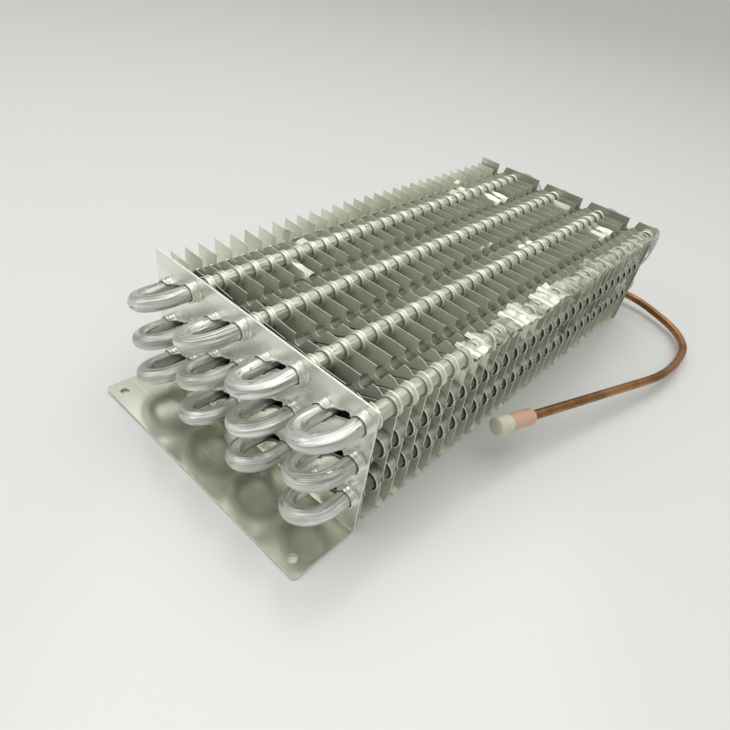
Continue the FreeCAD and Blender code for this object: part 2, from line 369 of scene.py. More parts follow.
def cap_finish():
    """Cloudy soft plastic: pinkish over the pipe, where the copper shines through, pale at the head."""
    finish = Finish("cloudy cap plastic", Roughness=0.35, IOR=1.45, Subsurface_Weight=0.35,
                    Subsurface_Scale=0.003)
    cloudy = finish.cloud(finish.place(), 260, 3)
    along = finish.add("ShaderNodeSeparateXYZ", None, {0: finish.along_tube()})
    head = along.step(0.0170, 0.0185)
    sleeve = finish.mix((0.62, 0.36, 0.25, 1), (0.74, 0.52, 0.41, 1), cloudy)
    pale = finish.mix((0.62, 0.61, 0.47, 1), (0.76, 0.76, 0.64, 1), cloudy)
    return finish.coat(Base_Color=finish.mix(sleeve, pale, head), Normal=finish.bump(cloudy, 0.0002))


def inlet_cap_finish():
    """Cloudy pale plastic without the pipe's pink."""
    finish = Finish("cloudy inlet cap plastic", Roughness=0.4, IOR=1.45)
    cloudy = finish.cloud(finish.place(), 260, 3)
    colour = finish.mix((0.66, 0.68, 0.54, 1), (0.76, 0.78, 0.65, 1), cloudy)
    return finish.coat(Base_Color=colour, Normal=finish.bump(cloudy, 0.0002))


def joint_finish():
    """The sleeve where aluminium and copper meet, darkened by heat."""
    finish = Finish("heat-stained joint metal", Metallic=1.0)
    stain = finish.cloud(finish.place(), 240, 4).step(0.35, 0.65)
    colour = finish.mix((0.62, 0.56, 0.48, 1), (0.36, 0.28, 0.22, 1), stain)
    return finish.coat(Base_Color=colour, Roughness=0.35 + stain * 0.15, Normal=finish.bump(stain, 0.0001))


def floor_finish():
    """A pale floor with a soft gloss."""
    finish = Finish("pale floor", Roughness=0.22, Specular_IOR_Level=0.7)
    cloudy = finish.cloud(finish.place(), 3, 1)
    return finish.coat(Base_Color=finish.mix((0.745, 0.755, 0.73, 1), (0.725, 0.74, 0.715, 1), cloudy))


PLATE = plate_finish("rolled aluminium plate", grey(0.91, 0.06), grey(0.78, 0.10), grey(0.92, 0.04),
                     (0.22, 0.08, 0.04), foot_reflection=True)
# The far plate takes a darker copy of the plate finish: painted shade for the plate standing in shade.
FAR_PLATE = plate_finish("dull far plate with painted shade", grey(0.62, 0.12), grey(0.46, 0.16), grey(0.95),
                         (0.3, 0.10, 0.05))
FIN = fin_finish()
DULL_SHADED_FIN = dull_shaded_fin_finish()
SHADED_FIRST_FIN = shaded_first_fin_finish()
EDGE_HIGHLIGHT = edge_highlight_finish()
TUBE = tube_finish()
COPPER = copper_finish()
CAP = cap_finish()
FIN_FINISHES = [FIN, EDGE_HIGHLIGHT, DULL_SHADED_FIN, EDGE_HIGHLIGHT, SHADED_FIRST_FIN, EDGE_HIGHLIGHT]

# Numbers of a fin's faces in FIN_FINISHES. Each kind of sheet is followed by its cut edge, which is
# bright with painted highlight.
SHEET = 0
EDGE = 1
# Face number of the dull sheet with painted shade
DULL = 2
# Face number of the first fin's painted shade
DARK = 4


# Meshes

def new_mesh(name, points, faces, finish=0):
    """A mesh from points in millimetres. finish is the number of its faces' finish."""
    mesh = bpy.data.meshes.new(name)
    mesh.from_pydata([Vector(p) * MM for p in points], [], faces)
    mesh.validate()
    for face in mesh.polygons:
        face.material_index = finish
    return mesh


def new_piece(name, mesh, materials, node, crease):
    """A piece on the root body in place of a node. Edges sharper than crease degrees stay crisp.

    A mesh that has some of the materials already keeps them, and its faces keep their numbers.
    """
    mesh.shade_smooth()
    mesh.set_sharp_from_angle(angle=math.radians(crease))
    piece = bpy.data.objects.new(name, mesh)
    bpy.context.scene.collection.objects.link(piece)
    for material in materials[len(mesh.materials):]:
        mesh.materials.append(material)
    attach(piece, "root")
    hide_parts(node)


def thick_sheet(mesh, thickness, materials):
    """The sheet as a solid. Its cut edges take the material after that of the face beside them."""
    for material in materials:
        mesh.materials.append(material)
    holder = bpy.data.objects.new("sheet", mesh)
    bpy.context.scene.collection.objects.link(holder)
    solid = holder.modifiers.new("thickness", "SOLIDIFY")
    solid.thickness = thickness * MM
    solid.offset = 0.0
    solid.material_offset_rim = 1
    shape = holder.evaluated_get(bpy.context.evaluated_depsgraph_get())
    result = bpy.data.meshes.new_from_object(shape)
    bpy.data.objects.remove(holder)
    return result


def joined(meshes, merge=0.0):
    """One mesh of several, with the faces of each turned outwards. Points nearer than merge become one."""
    work = bmesh.new()
    for mesh in meshes:
        work.from_mesh(mesh)
    if merge > 0:
        bmesh.ops.remove_doubles(work, verts=work.verts, dist=merge)
    bmesh.ops.recalc_face_normals(work, faces=work.faces)
    result = meshes[0]
    work.to_mesh(result)
    work.free()
    return result


def band(loop, profile, closed=True):
    """Points and faces of a strip that follows a loop. profile(i, place) gives its section's points."""
    points = []
    for i, place in enumerate(loop):
        points += profile(i, place)
    size = len(points) // len(loop)
    faces = []
    last = len(loop) if closed else len(loop) - 1
    for i in range(last):
        a = i * size
        b = ((i + 1) % len(loop)) * size
        for k in range(size):
            n = (k + 1) % size
            faces.append((a + k, a + n, b + n, b + k))
    if not closed:
        faces.append(tuple(range(size)))
        faces.append(tuple(range(len(points) - 1, len(points) - size - 1, -1)))
    return points, faces


def mark_wrap(mesh, places):
    """Stores each point's place along and round a tube."""
    layer = mesh.attributes.new("wrap", "FLOAT_VECTOR", "POINT")
    for item, place in zip(layer.data, places):
        item.vector = Vector(place) * MM


def ring_faces(count, sides):
    """The faces of a closed tube of so many rings, with so many points each."""
    faces = []
    for i in range(count - 1):
        for k in range(sides):
            n = (k + 1) % sides
            a = i * sides
            faces.append((a + k, a + n, a + sides + n, a + sides + k))
    faces.append(tuple(range(sides - 1, -1, -1)))
    faces.append(tuple(range((count - 1) * sides, count * sides)))
    return faces


def sweep(route, radius, sides, shape):
    """A closed tube along a route. shape(i, direction) gives a factor for the radius.

    Returns its points, its faces and each point's place along and round it.
    """
    count = len(route)
    tangents = []
    for i in range(count):
        ahead = route[min(i + 1, count - 1)] - route[max(i - 1, 0)]
        tangents.append(ahead.normalized())
    side = tangents[0].orthogonal().normalized()
    points = []
    places = []
    along = 0.0
    for i in range(count):
        along += (route[i] - route[max(i - 1, 0)]).length
        side = (side - tangents[i] * side.dot(tangents[i])).normalized()
        up = tangents[i].cross(side)
        for k in range(sides):
            turn = 2 * math.pi * k / sides
            direction = side * math.cos(turn) + up * math.sin(turn)
            points.append(route[i] + direction * radius * shape(i, direction))
            places.append((along, radius * math.cos(turn), radius * math.sin(turn)))
    return points, ring_faces(count, sides), places


# Tube and copper pipe

def swept_piece(name, route, radius, sides, shape, material, node):
    """A tube or pipe in place of a node."""
    points, faces, places = sweep(route, radius, sides, shape)
    mesh = new_mesh(name, points, faces)
    mark_wrap(mesh, places)
    new_piece(name, mesh, [material], node, 60)


def leg_rise(place, x):
    """How far a leg stands up at a place along it: the top legs rise a little between the plates."""
    if place[1] < TOP - MARGIN_TOP - 1:
        return 0.0
    return TOP_LEG_RISE * smooth(NEAR_FACE, NEAR_FACE + 25, x) * (1 - smooth(FAR_FACE - 30, FAR_FACE, x))


def coil_route():
    """The tube's centre line, with the inward direction and strength of each bend."""
    route = []
    inward = []

    def add(point, towards=None, strength=0.0):
        route.append(Vector(point))
        inward.append((towards or Vector((0, 0, 0)), strength))

    def bend(first, second, x, outwards, steps=24):
        start = Vector((x,) + first)
        end = Vector((x,) + second)
        middle = (start + end) / 2
        arm = start - middle
        out = Vector((outwards, 0, 0)) * arm.length
        for i in range(1, steps):
            turn = math.pi * i / steps
            spot = middle + arm * math.cos(turn) + out * math.sin(turn)
            add(spot, (middle - spot).normalized(), math.sin(turn) ** 2)

    def straight(place, start, end):
        steps = max(2, int(abs(end - start) / 6))
        for i in range(steps + 1):
            x = start + (end - start) * i / steps
            add((x, place[0], place[1] + leg_rise(place, x)))

    near_end = NEAR_FACE - STRAIGHT
    far_end = FAR_FACE + STRAIGHT
    start = FAR_FACE + OUTLET_STUB
    previous = None
    for column, row, upper_first in SNAKE:
        entry = leg_place(column, row, upper_first)
        leaving = leg_place(column, row, not upper_first)
        if previous is not None:
            bend(previous, entry, far_end, 1)
        straight(entry, start, near_end)
        bend(entry, leaving, near_end, -1)
        last = (column, row, upper_first) == SNAKE[-1]
        straight(leaving, near_end, FAR_FACE + INLET_STUB if last else far_end)
        start = far_end
        previous = leaving
    return route, inward


def tube_coil():
    """The tube, flattened a little outside each bend and rippled inside it."""
    route, inward = coil_route()

    def shape(i, direction):
        towards, strength = inward[i]
        inner = max(0.0, direction.dot(towards))
        outer = max(0.0, -direction.dot(towards))
        spot = route[i]
        flat = 1 - 0.035 * strength * outer ** 2
        ripple = 0.022 * strength * inner ** 2 * math.sin(i * 2.2 + spot.y)
        rough = 0.012 * strength * wobble(3, spot.x * 0.4 + direction.x, spot.y * 0.4 + direction.y,
                                          spot.z * 0.4 + direction.z)
        return flat + ripple + rough

    swept_piece("coil_tube", route, TUBE_RADIUS, 36, shape, TUBE, "tube_coil")


def outlet_place():
    """Where the first leg leaves the far plate's outer face."""
    column, row, upper = SNAKE[0]
    return Vector((FAR_FACE,) + leg_place(column, row, upper))


def pipe_route():
    """The copper pipe's centre line: straight runs joined by arcs."""
    base = outlet_place()
    corners = [base + Vector(c[:3]) for c in PIPE_CORNERS]
    points = [base + Vector((OUTLET_STUB - PIPE_IN_TUBE, 0, 0))] + corners + [base + Vector(PIPE_END)]
    route = [points[0], points[0] + Vector((4, 0, 0))]
    at = points[0]
    for before, corner, after, data in zip(points, points[1:], points[2:], PIPE_CORNERS):
        back = (before - corner).normalized()
        on = (after - corner).normalized()
        half_turn = (math.pi - back.angle(on)) / 2
        radius = data[3]
        enter = corner + back * radius * math.tan(half_turn)
        centre = corner + (back + on).normalized() * (radius / math.cos(half_turn))
        steps = max(3, int(half_turn * 2 / 0.07))
        first = enter - centre
        normal = first.cross(-back).normalized()
        tangent = normal.cross(first)
        for n in range(1, 4):
            route.append(at.lerp(enter, n / 4))
        for n in range(steps + 1):
            turn = 2 * half_turn * n / steps
            route.append(centre + first * math.cos(turn) + tangent * math.sin(turn))
        at = route[-1]
    for n in range(1, 13):
        route.append(at.lerp(points[-1], n / 12))
    return route


def outlet_pipe():
    """The copper pipe, which ends inside its cap."""
    route = pipe_route()
    route[-1] = route[-2].lerp(route[-1], 0.6)

    def shape(i, direction):
        spot = route[i] * 0.06
        return 1 + 0.014 * wobble(9, spot.x + direction.x, spot.y + direction.y, spot.z + direction.z)

    swept_piece("copper_outlet", route, PIPE_RADIUS, 28, shape, COPPER, "outlet_pipe")


# Sheets

def slot_loop(upper, lower, end_radius, side_radius, steps=10):
    """A slot's outline as (y, z, along, direction y, direction z).

    The ends are round about the legs, and the sides may be narrower than the ends. The direction
    points out of the slot.
    """
    uy, uz = (lower[0] - upper[0]) / SPAN, (lower[1] - upper[1]) / SPAN
    vy, vz = -uz, uy
    reach = math.asin(min(1.0, side_radius / end_radius))
    neck = end_radius * math.cos(reach)
    loop = []

    def add(along, across, out_along, out_across):
        loop.append((upper[0] + uy * along + vy * across, upper[1] + uz * along + vz * across, along,
                     uy * out_along + vy * out_across, uz * out_along + vz * out_across))

    for centre, side in ((0.0, 1.0), (SPAN, -1.0)):
        for i in range(steps * 2 + 1):
            turn = reach + 2 * (math.pi - reach) * i / (steps * 2)
            across, along = math.sin(turn), math.cos(turn) * side
            add(centre + end_radius * along, end_radius * across * side, along, across * side)
        for i in range(1, 5):
            along = neck + (SPAN - 2 * neck) * i / 5
            add(along if side > 0 else SPAN - along, -side_radius * side, 0.0, -side)
    return loop


def inside(polygon, y, z):
    """Whether a point lies in a polygon."""
    result = False
    for (y1, z1), (y2, z2) in zip(polygon, polygon[1:] + polygon[:1]):
        if (z1 > z) != (z2 > z) and y < (y2 - y1) * (z - z1) / (z2 - z1) + y1:
            result = not result
    return result


def refine(polygon, step):
    """The same polygon with no side longer than step."""
    fine = []
    for (y1, z1), (y2, z2) in zip(polygon, polygon[1:] + polygon[:1]):
        parts = max(1, round(math.hypot(y2 - y1, z2 - z1) / step))
        for i in range(parts):
            t = i / parts
            fine.append((y1 + (y2 - y1) * t, z1 + (z2 - z1) * t))
    return fine


def flat_sheet(outline, holes, grid):
    """Points and triangles of a flat sheet. A hole may break through the outline."""
    rims = [outline] + holes
    points = []
    edges = []
    for rim in rims:
        first = len(points)
        points += [Vector(p) for p in rim]
        edges += [(first + i, first + (i + 1) % len(rim)) for i in range(len(rim))]
    low = [min(p[i] for p in outline) for i in (0, 1)]
    high = [max(p[i] for p in outline) for i in (0, 1)]
    number_across = int((high[0] - low[0]) / grid)
    number_up = int((high[1] - low[1]) / grid)

    def in_sheet(y, z):
        return inside(outline, y, z) and not any(inside(hole, y, z) for hole in holes)

    rim_points = [p for rim in rims for p in rim]
    for i in range(1, number_across):
        for j in range(1, number_up):
            y = low[0] + (high[0] - low[0]) * (i + 0.5 * (j % 2)) / number_across
            z = low[1] + (high[1] - low[1]) * j / number_up
            if in_sheet(y, z) and min(math.hypot(y - a, z - b) for a, b in rim_points) > grid * 0.45:
                points.append(Vector((y, z)))
    result = geometry.delaunay_2d_cdt(points, edges, [], 0, 0.0001)
    verts, faces = result[0], result[2]
    kept = []
    for face in faces:
        y = sum(verts[i].x for i in face) / len(face)
        z = sum(verts[i].y for i in face) / len(face)
        if in_sheet(y, z):
            kept.append(tuple(face))
    return [(v.x, v.y) for v in verts], kept


# Fins

def notch(leg_y):
    """The outline of one notch, from its right side to its left side: leaning, round below, upright."""
    shape = [(11.2, 0.0), (12.6, -2.0), (13.6, -3.9), (14.4, -5.0), (15.7, -5.7), (17.2, -5.5),
             (18.1, -4.7), (18.4, -3.4), (18.3, -1.5), (18.2, -0.8), (17.6, 0.0)]
    return [(leg_y + a, FIN_TOP + b) for a, b in shape]


def fin_outline():
    """A fin's edge: straight sides, four notches, and a droop beside the first leg."""
    points = [(FIN_LEFT, FIN_BOTTOM), (FIN_RIGHT, FIN_BOTTOM), (FIN_RIGHT, 62.7), (FIN_RIGHT + 0.6, 67.4),
              (FIN_RIGHT + 9.0, 68.3), (FIN_RIGHT + 12.0, FIN_TOP)]
    for column in range(COLUMNS):
        points += notch(leg_place(column, 0, True)[0])
    points.append((FIN_LEFT, FIN_TOP))
    return points


def hole_centre(column, row, upper):
    """Where a leg passes the fins."""
    place = leg_place(column, row, upper)
    middle = (NEAR_FACE + FAR_FACE) / 2
    return place[0], place[1] + leg_rise(place, middle)


def fin_slots():
    """The slots' outlines in a fin, wider at the upper leg's lower right side."""
    for column in range(COLUMNS):
        for row in range(ROWS):
            upper, lower = hole_centre(column, row, True), hole_centre(column, row, False)
            outline = []
            for y, z, along, dy, dz in slot_loop(upper, lower, FIN_HOLE, FIN_SLIT):
                open_side = max(0.0, -dy * 0.6 - dz * 0.8) if along < 5 else 0.0
                more = (1.1 if row == 0 else 0.7) * open_side
                outline.append((y + dy * more, z + dz * more))
            yield outline


FIN_SHEET = flat_sheet(refine(fin_outline(), 2.2), list(fin_slots()), 3.6)

# Bent places of the fins. A curl turns what stands above a height towards the far end: fin numbers,
# right and left limit from the plates' right edge, height, turn in degrees. A side fold turns what
# stands right of a line: fin numbers, lowest and highest point, line, turn in degrees.
CURLS = [
    ((19, 20), 38.6, 53.8, 64.0, 84),
    ((26, 27), 21.1, 36.3, 63.3, 82),
    ((24, 25), 97.1, 112.2, 64.2, 72),
    ((25, 26), 114.2, 124.3, 64.3, 90),
    ((24,), 132.5, 141.6, 64.2, 70),
    ((22, 23), 112.4, 130.6, 65.2, 45),
    ((5,), 96.1, 111.5, 63.5, 88),
    ((7,), 117.2, 137.6, 62.8, 64),
    ((16, 17), 54.0, 64.1, 65.8, 30),
    ((28,), 61.5, 81.7, 64.4, 40),
]
SIDE_FOLDS = [
    ((6, 7, 8), 50, 64, 7.0, 30),
    ((12, 13), 49, 67, 7.0, 42),
    ((18,), 23, 66, 7.8, -62),
    ((19,), 27, 60, 6.2, -30),
    ((22, 23, 24), 28, 64, 5.1, -35),
    ((27, 28), 18, 58, 4.9, 30),
]

# Flaps over the first column, by fin number: right and left limit from the plates' right edge, height
# of the bend, length, and turn in degrees. Bright flaps keep the sheet's finish, and the others take
# the dull sheet with its painted shade.
FLAPS = {
    6: (-2.0, 11.0, 70.5, 8.5, 84),
    7: (-1.5, 12.5, 71.0, 9.5, 96),
    9: (-1.0, 11.0, 70.6, 8.8, 78),
    10: (-1.5, 13.0, 70.5, 9.2, 84),
    11: (-2.5, 14.0, 71.0, 10.5, 98),
    13: (-2.0, 12.0, 70.8, 9.0, 80),
    14: (-1.0, 13.0, 71.0, 9.8, 90),
    19: (-1.5, 12.0, 71.0, 9.5, 78),
    20: (-1.0, 13.0, 71.0, 9.0, 92),
}
BRIGHT_FLAPS = (6, 7, 10, 11, 13, 14)

# Fins whose flap covers the first top leg, so that no collar shows round it
COVERED = (8, 12) + tuple(range(15, 19)) + tuple(range(21, 29))
FLAPS.update({number: (-1.6 + 0.6 * wobble(number, 0.3), 9.5 + 2.0 * wobble(number, 0.9),
                       70.4 + 0.5 * wobble(number, 1.7), 9.0 + 1.2 * wobble(number, 2.3),
                       86 + 10 * wobble(number, 3.1))
              for number in COVERED})

# Sections of the rims drawn out of a fin, as (share of the rim's height, distance from the leg's axis).
# A short collar has a bead at its mouth. A funnel is long and wide where it leaves the sheet.
COLLAR_SECTION = [(0.15, 5.35), (-0.12, 5.15), (-0.24, 4.6), (-0.76, 4.5), (-0.86, 5.0), (-0.98, 5.3),
                  (-1.08, 5.1), (-1.02, 4.6), (-0.7, 4.3), (-0.24, 4.35), (0.15, 4.7)]
FUNNEL_SECTION = [(0.03, 8.0), (-0.06, 7.3), (-0.2, 6.6), (-0.42, 6.0), (-0.68, 5.55), (-1.0, 5.3),
                  (-1.0, 4.9), (-0.5, 5.0), (0.0, 5.1)]
COLLAR_RADIUS = 4.5
COLLAR_HEIGHT = 2.5
FUNNEL_HEIGHT = 4.6

# Section of the rim at a funnel's mouth, as (place along the leg, distance from its axis)
MOUTH_SECTION = [(0.2, 5.45), (-0.22, 5.4), (-0.22, 4.9), (0.2, 4.9)]
MOUTH_HEIGHT = 4.9
STRIP_RADIUS = 5.3


def fin_sway(number, y, z):
    """How far a fin's soft bend takes a point along X."""
    across = y - RIGHT
    dx = 0.30 * wobble(number, across * 0.025, z * 0.03)
    dx += 0.18 * wobble(number + 60, across * 0.08, z * 0.07)
    dx += 0.7 * wobble(number + 120, across * 0.04) * smooth(45, 70, z)
    dx += (1 - smooth(2, 24, across)) * (1 - smooth(10, 45, z)) * (0.8 + 0.8 * wobble(number + 200, 0.3))
    if number == 0:
        dx += 0.9 + smooth(50, 148, across) * 2.4 - 3.2 * (1 - smooth(0, 22, across))
    if number == 1:
        dx += -2.0 * math.exp(-((across - 62) / 16) ** 2) * smooth(36, 68, z)
        dx += smooth(85, 148, across) * 1.2
    return dx


def rolled(length, turn, share):
    """Where a share of a strip goes as it rolls through a turn: to the side, and onwards."""
    radius = length / turn
    return radius * (1 - math.cos(turn * share)), radius * math.sin(turn * share)


def fin_bend(number, y, z):
    """Where a point of a fin goes: its distance along X from the fin's plane, and its new Y and Z."""
    across = y - RIGHT
    dx = fin_sway(number, y, z)
    if z < FOOT_CURL and across < 20 and number > 0:
        share = (FOOT_CURL - z) / (FOOT_CURL - FIN_BOTTOM)
        weight = (1 - smooth(9, 19, across)) * (0.85 + 0.3 * wobble(number + 400, across * 0.1))
        turn = 2.0 * weight
        if turn > LEAST_TURN:
            length = (FOOT_CURL - FIN_BOTTOM) * turn / math.sin(min(turn, 1.75))
            aside, down = rolled(length, turn, share)
            dx -= aside
            z = FOOT_CURL - down
    for numbers, low, high, height, degrees in CURLS:
        if number in numbers and low - 2 < across < high + 2 and z > height:
            weight = smooth(low - 1.0, low + 1.0, across) * (1 - smooth(high - 1.0, high + 1.0, across))
            turn = math.radians(degrees) * weight * (1 + 0.25 * wobble(number + 300, across * 0.12))
            if turn > LEAST_TURN:
                length = FIN_TOP - height
                aside, up = rolled(length, turn * 1.25, (z - height) / length)
                dx += aside
                z = height + up
    for numbers, low, high, line, degrees in SIDE_FOLDS:
        if number in numbers and across < line:
            weight = smooth(low, low + 3, z) * (1 - smooth(high - 3, high, z))
            turn = math.radians(degrees) * weight
            reach = line - across
            dx += reach * math.sin(turn)
            y = RIGHT + line - reach * math.cos(turn)
    return dx, y, z


def arc(centre, radius, start, end, steps):
    """Points on a circle as (y, z, direction y, direction z, share of the arc)."""
    points = []
    for i in range(steps + 1):
        turn = math.radians(start + (end - start) * i / steps)
        dy, dz = math.cos(turn), math.sin(turn)
        points.append((centre[0] + radius * dy, centre[1] + radius * dz, dy, dz, i / steps))
    return points


def collar(number, base, column, row):
    """A rim round an upper leg, turned towards the near plate: a beaded collar, or a funnel for the
    first column's lower legs. Funnels stay inside the fin's right edge.
    """
    centre = hole_centre(column, row, True)
    seed = number * 12 + column * 3 + row
    funnel = column == 0 and row > 0
    sides = 40 if row == 0 or funnel else 20
    height = (FUNNEL_HEIGHT if funnel else COLLAR_HEIGHT) + 0.35 * wobble(seed, 0.5)
    lean = (0.05 * wobble(seed + 5, 0.1), 0.05 * wobble(seed + 9, 0.1))
    slip = -0.35 if row == 0 else 0.0
    section = FUNNEL_SECTION if funnel else COLLAR_SECTION

    def profile(i, place):
        _, _, dy, dz, _ = place
        tilt = (dy * lean[0] + dz * lean[1]) * 5
        loose = 0.12 * wobble(seed + 3, dy * 2, dz * 2)
        sway = fin_sway(number, centre[0] + dy * 5, centre[1] + dz * 5)
        edge = FIN_RIGHT + 0.1 if funnel else -math.inf
        return [(base + sway + a * height + tilt, max(centre[0] + dy * (r + loose) + slip, edge + a * 1.6),
                 centre[1] + dz * (r + loose) + slip) for a, r in section]

    return band(arc(centre, COLLAR_RADIUS, 0, 360, sides)[:-1], profile)


def collar_mouth(number, base, row):
    """The rolled rim at the mouth of a funnel, bright with painted highlight."""
    centre = hole_centre(0, row, True)
    height = MOUTH_HEIGHT + 0.35 * wobble(number * 12 + row, 0.5)

    def profile(i, place):
        _, _, dy, dz, _ = place
        sway = fin_sway(number, centre[0] + dy * 5, centre[1] + dz * 5)
        x = base + sway - height + 0.3 * dz
        return [(x + a, centre[0] + dy * r, centre[1] + dz * r) for a, r in MOUTH_SECTION]

    return band(arc(centre, COLLAR_RADIUS, 0, 360, 40)[:-1], profile)


def edge_hem(number, base):
    """The narrow hem along a fin's right edge, bright with painted highlight."""
    route = [(FIN_RIGHT, FOOT_CURL + (62.0 - FOOT_CURL) * i / 34) for i in range(35)]

    def profile(i, place):
        dx, y, z = fin_bend(number, *place)
        x = base + dx
        width = 0.28 + 0.1 * wobble(number + 410, z * 0.3)
        return [(x - width, y - 0.12, z), (x + width, y - 0.12, z), (x + width, y + 0.2, z),
                (x - width, y + 0.2, z)]

    return band(route, profile, closed=False)


def edge_tab(number, base, row):
    """The small tab that stands out of a fin's right edge beside a leg."""
    centre = hole_centre(0, row, True)
    seed = number * 5 + row
    top = centre[1] + 3.4 + 0.8 * wobble(seed + 70, 0.4)
    length = 4.6 + 1.2 * wobble(seed + 75, 0.9)
    route = [(FIN_RIGHT, top - length * i / 6, i / 6) for i in range(7)]

    def profile(i, place):
        y, z, share = place
        x = base + fin_sway(number, y, z)
        ragged = 1 + 0.3 * wobble(seed + 80, share * 3)
        reach = 0.3 + 1.1 * math.sin(math.pi * (0.15 + 0.75 * share)) * ragged
        return [(x - 0.1, y + 0.1, z), (x + 0.2, y + 0.1, z),
                (x - 0.35, y - reach, z), (x - 0.6, y - reach, z)]

    return band(route, profile, closed=False)


def bent_flap(number, base, low, high, height, length, degrees):
    """A piece of a fin's top bent over towards the far end, a little crumpled."""
    across_steps = 12
    steps = 7
    points = []
    for i in range(across_steps + 1):
        across = low + (high - low) * i / across_steps
        ragged = 1 + 0.18 * wobble(number + 310, across * 0.5)
        turn = math.radians(degrees) * (1 + 0.3 * wobble(number + 320, across * 0.14))
        for k in range(steps + 1):
            share = k / steps
            reach = length * ragged * share
            angle = turn * min(1.0, share * 2.2)
            dent = 0.7 * wobble(number + 330, across * 0.22, share * 2) * share
            points.append((base + reach * math.sin(angle), RIGHT + across,
                           height + reach * math.cos(angle) + dent))
    faces = []
    for i in range(across_steps):
        for k in range(steps):
            a = i * (steps + 1) + k
            faces.append((a, a + 1, a + steps + 2, a + steps + 1))
    return points, faces


def corner_strip(number, base):
    """The strip that goes round the first top leg and ends at the fin's right edge, bright with painted
    highlight.
    """
    centre = hole_centre(0, 0, True)

    def profile(i, place):
        y, z, dy, dz, share = place
        x = base + fin_sway(number, y, z)
        width = 0.35 + 0.35 * smooth(0.6, 1.0, share)
        return [(x - 0.5, y - dy * width, z - dz * width), (x + 0.2, y - dy * width, z - dz * width),
                (x + 0.2, y + dy * width, z + dz * width), (x - 0.6, y + dy * width, z + dz * width)]

    return band(arc(centre, STRIP_RADIUS, 60, 232, 26), profile, closed=False)


def fin(number):
    """One fin: a thin bent sheet with its collars, funnels and their mouths, hem, tabs, flap and strip."""
    base = FIN_START + number * FIN_PITCH
    flat, triangles = FIN_SHEET
    points = []
    for y, z in flat:
        dx, new_y, new_z = fin_bend(number, y, z)
        points.append((base + dx, new_y, new_z))
    name = "fin_%02d" % (number + 1)
    sheet = new_mesh("sheet_" + name, points, triangles, SHEET)
    for face in sheet.polygons:
        # Painted shade: the first fin's sheet is dark across its middle, for the gap behind the near plate.
        if number == 0 and SHADE_RIGHT * MM < face.center.y < SHADE_LEFT * MM:
            face.material_index = DARK
    meshes = [thick_sheet(sheet, FIN_THICKNESS, FIN_FINISHES)]
    for column in range(COLUMNS):
        for row in range(ROWS):
            if column > 0 or row > 0 or number not in COVERED:
                # The first column's funnels take the dull sheet with painted shade.
                kind = DULL if column == 0 and row > 0 else SHEET
                meshes.append(new_mesh("collar", *collar(number, base, column, row), kind))
    # The hem, tabs, funnel mouths and corner strip are bright with the edge finish's painted highlight.
    meshes.append(new_mesh("hem", *edge_hem(number, base), EDGE))
    for row in (1, 2):
        meshes.append(new_mesh("tab", *edge_tab(number, base, row), EDGE))
        meshes.append(new_mesh("mouth", *collar_mouth(number, base, row), EDGE))
    if number in FLAPS:
        # Flaps other than the bright ones take the dull sheet with painted shade.
        kind = SHEET if number in BRIGHT_FLAPS else DULL
        flap = new_mesh("flap", *bent_flap(number, base, *FLAPS[number]), kind)
        meshes.append(thick_sheet(flap, FIN_THICKNESS, FIN_FINISHES))
    meshes.append(new_mesh("corner", *corner_strip(number, base), EDGE))
    new_piece("sheet_" + name, joined(meshes), FIN_FINISHES, name, 32)


# Near plate and cap

PLATE_LOOPS = [slot_loop(upper, lower, PLATE_HOLE, PLATE_SLIT, 14) for _, _, upper, lower in hairpins()]

# Section of a plate's rim from its face, as (share of the rim's height, distance outside the slot)
PLATE_RIM = [(0.0, 1.1), (0.05, 0.55), (0.16, 0.1), (0.28, 0.42), (0.38, 0.42), (0.50, 0.0), (0.62, 0.0),
             (0.74, 0.42), (0.92, 0.45), (1.0, 0.2), (1.0, -0.25), (0.8, -0.35), (0.0, -0.3)]
PLATE_RIM_HEIGHT = 4.1


def plate_bow(y, z):
    """How far the upright plate stands out of its plane."""
    return 0.3 * wobble(41, y * 0.02, z * 0.03) * smooth(2, 14, z)


def foot_lift(x, y):
    """Height of the foot above its seat: a little at its outer edge, more towards its left corner."""
    return (1 - smooth(FOOT_EDGE, 26, x)) * (0.3 + 0.4 * smooth(10, 75, y))


def circle(centre, radius, steps):
    """Points on a circle."""
    return [(centre[0] + radius * math.cos(2 * math.pi * i / steps),
             centre[1] + radius * math.sin(2 * math.pi * i / steps)) for i in range(steps)]


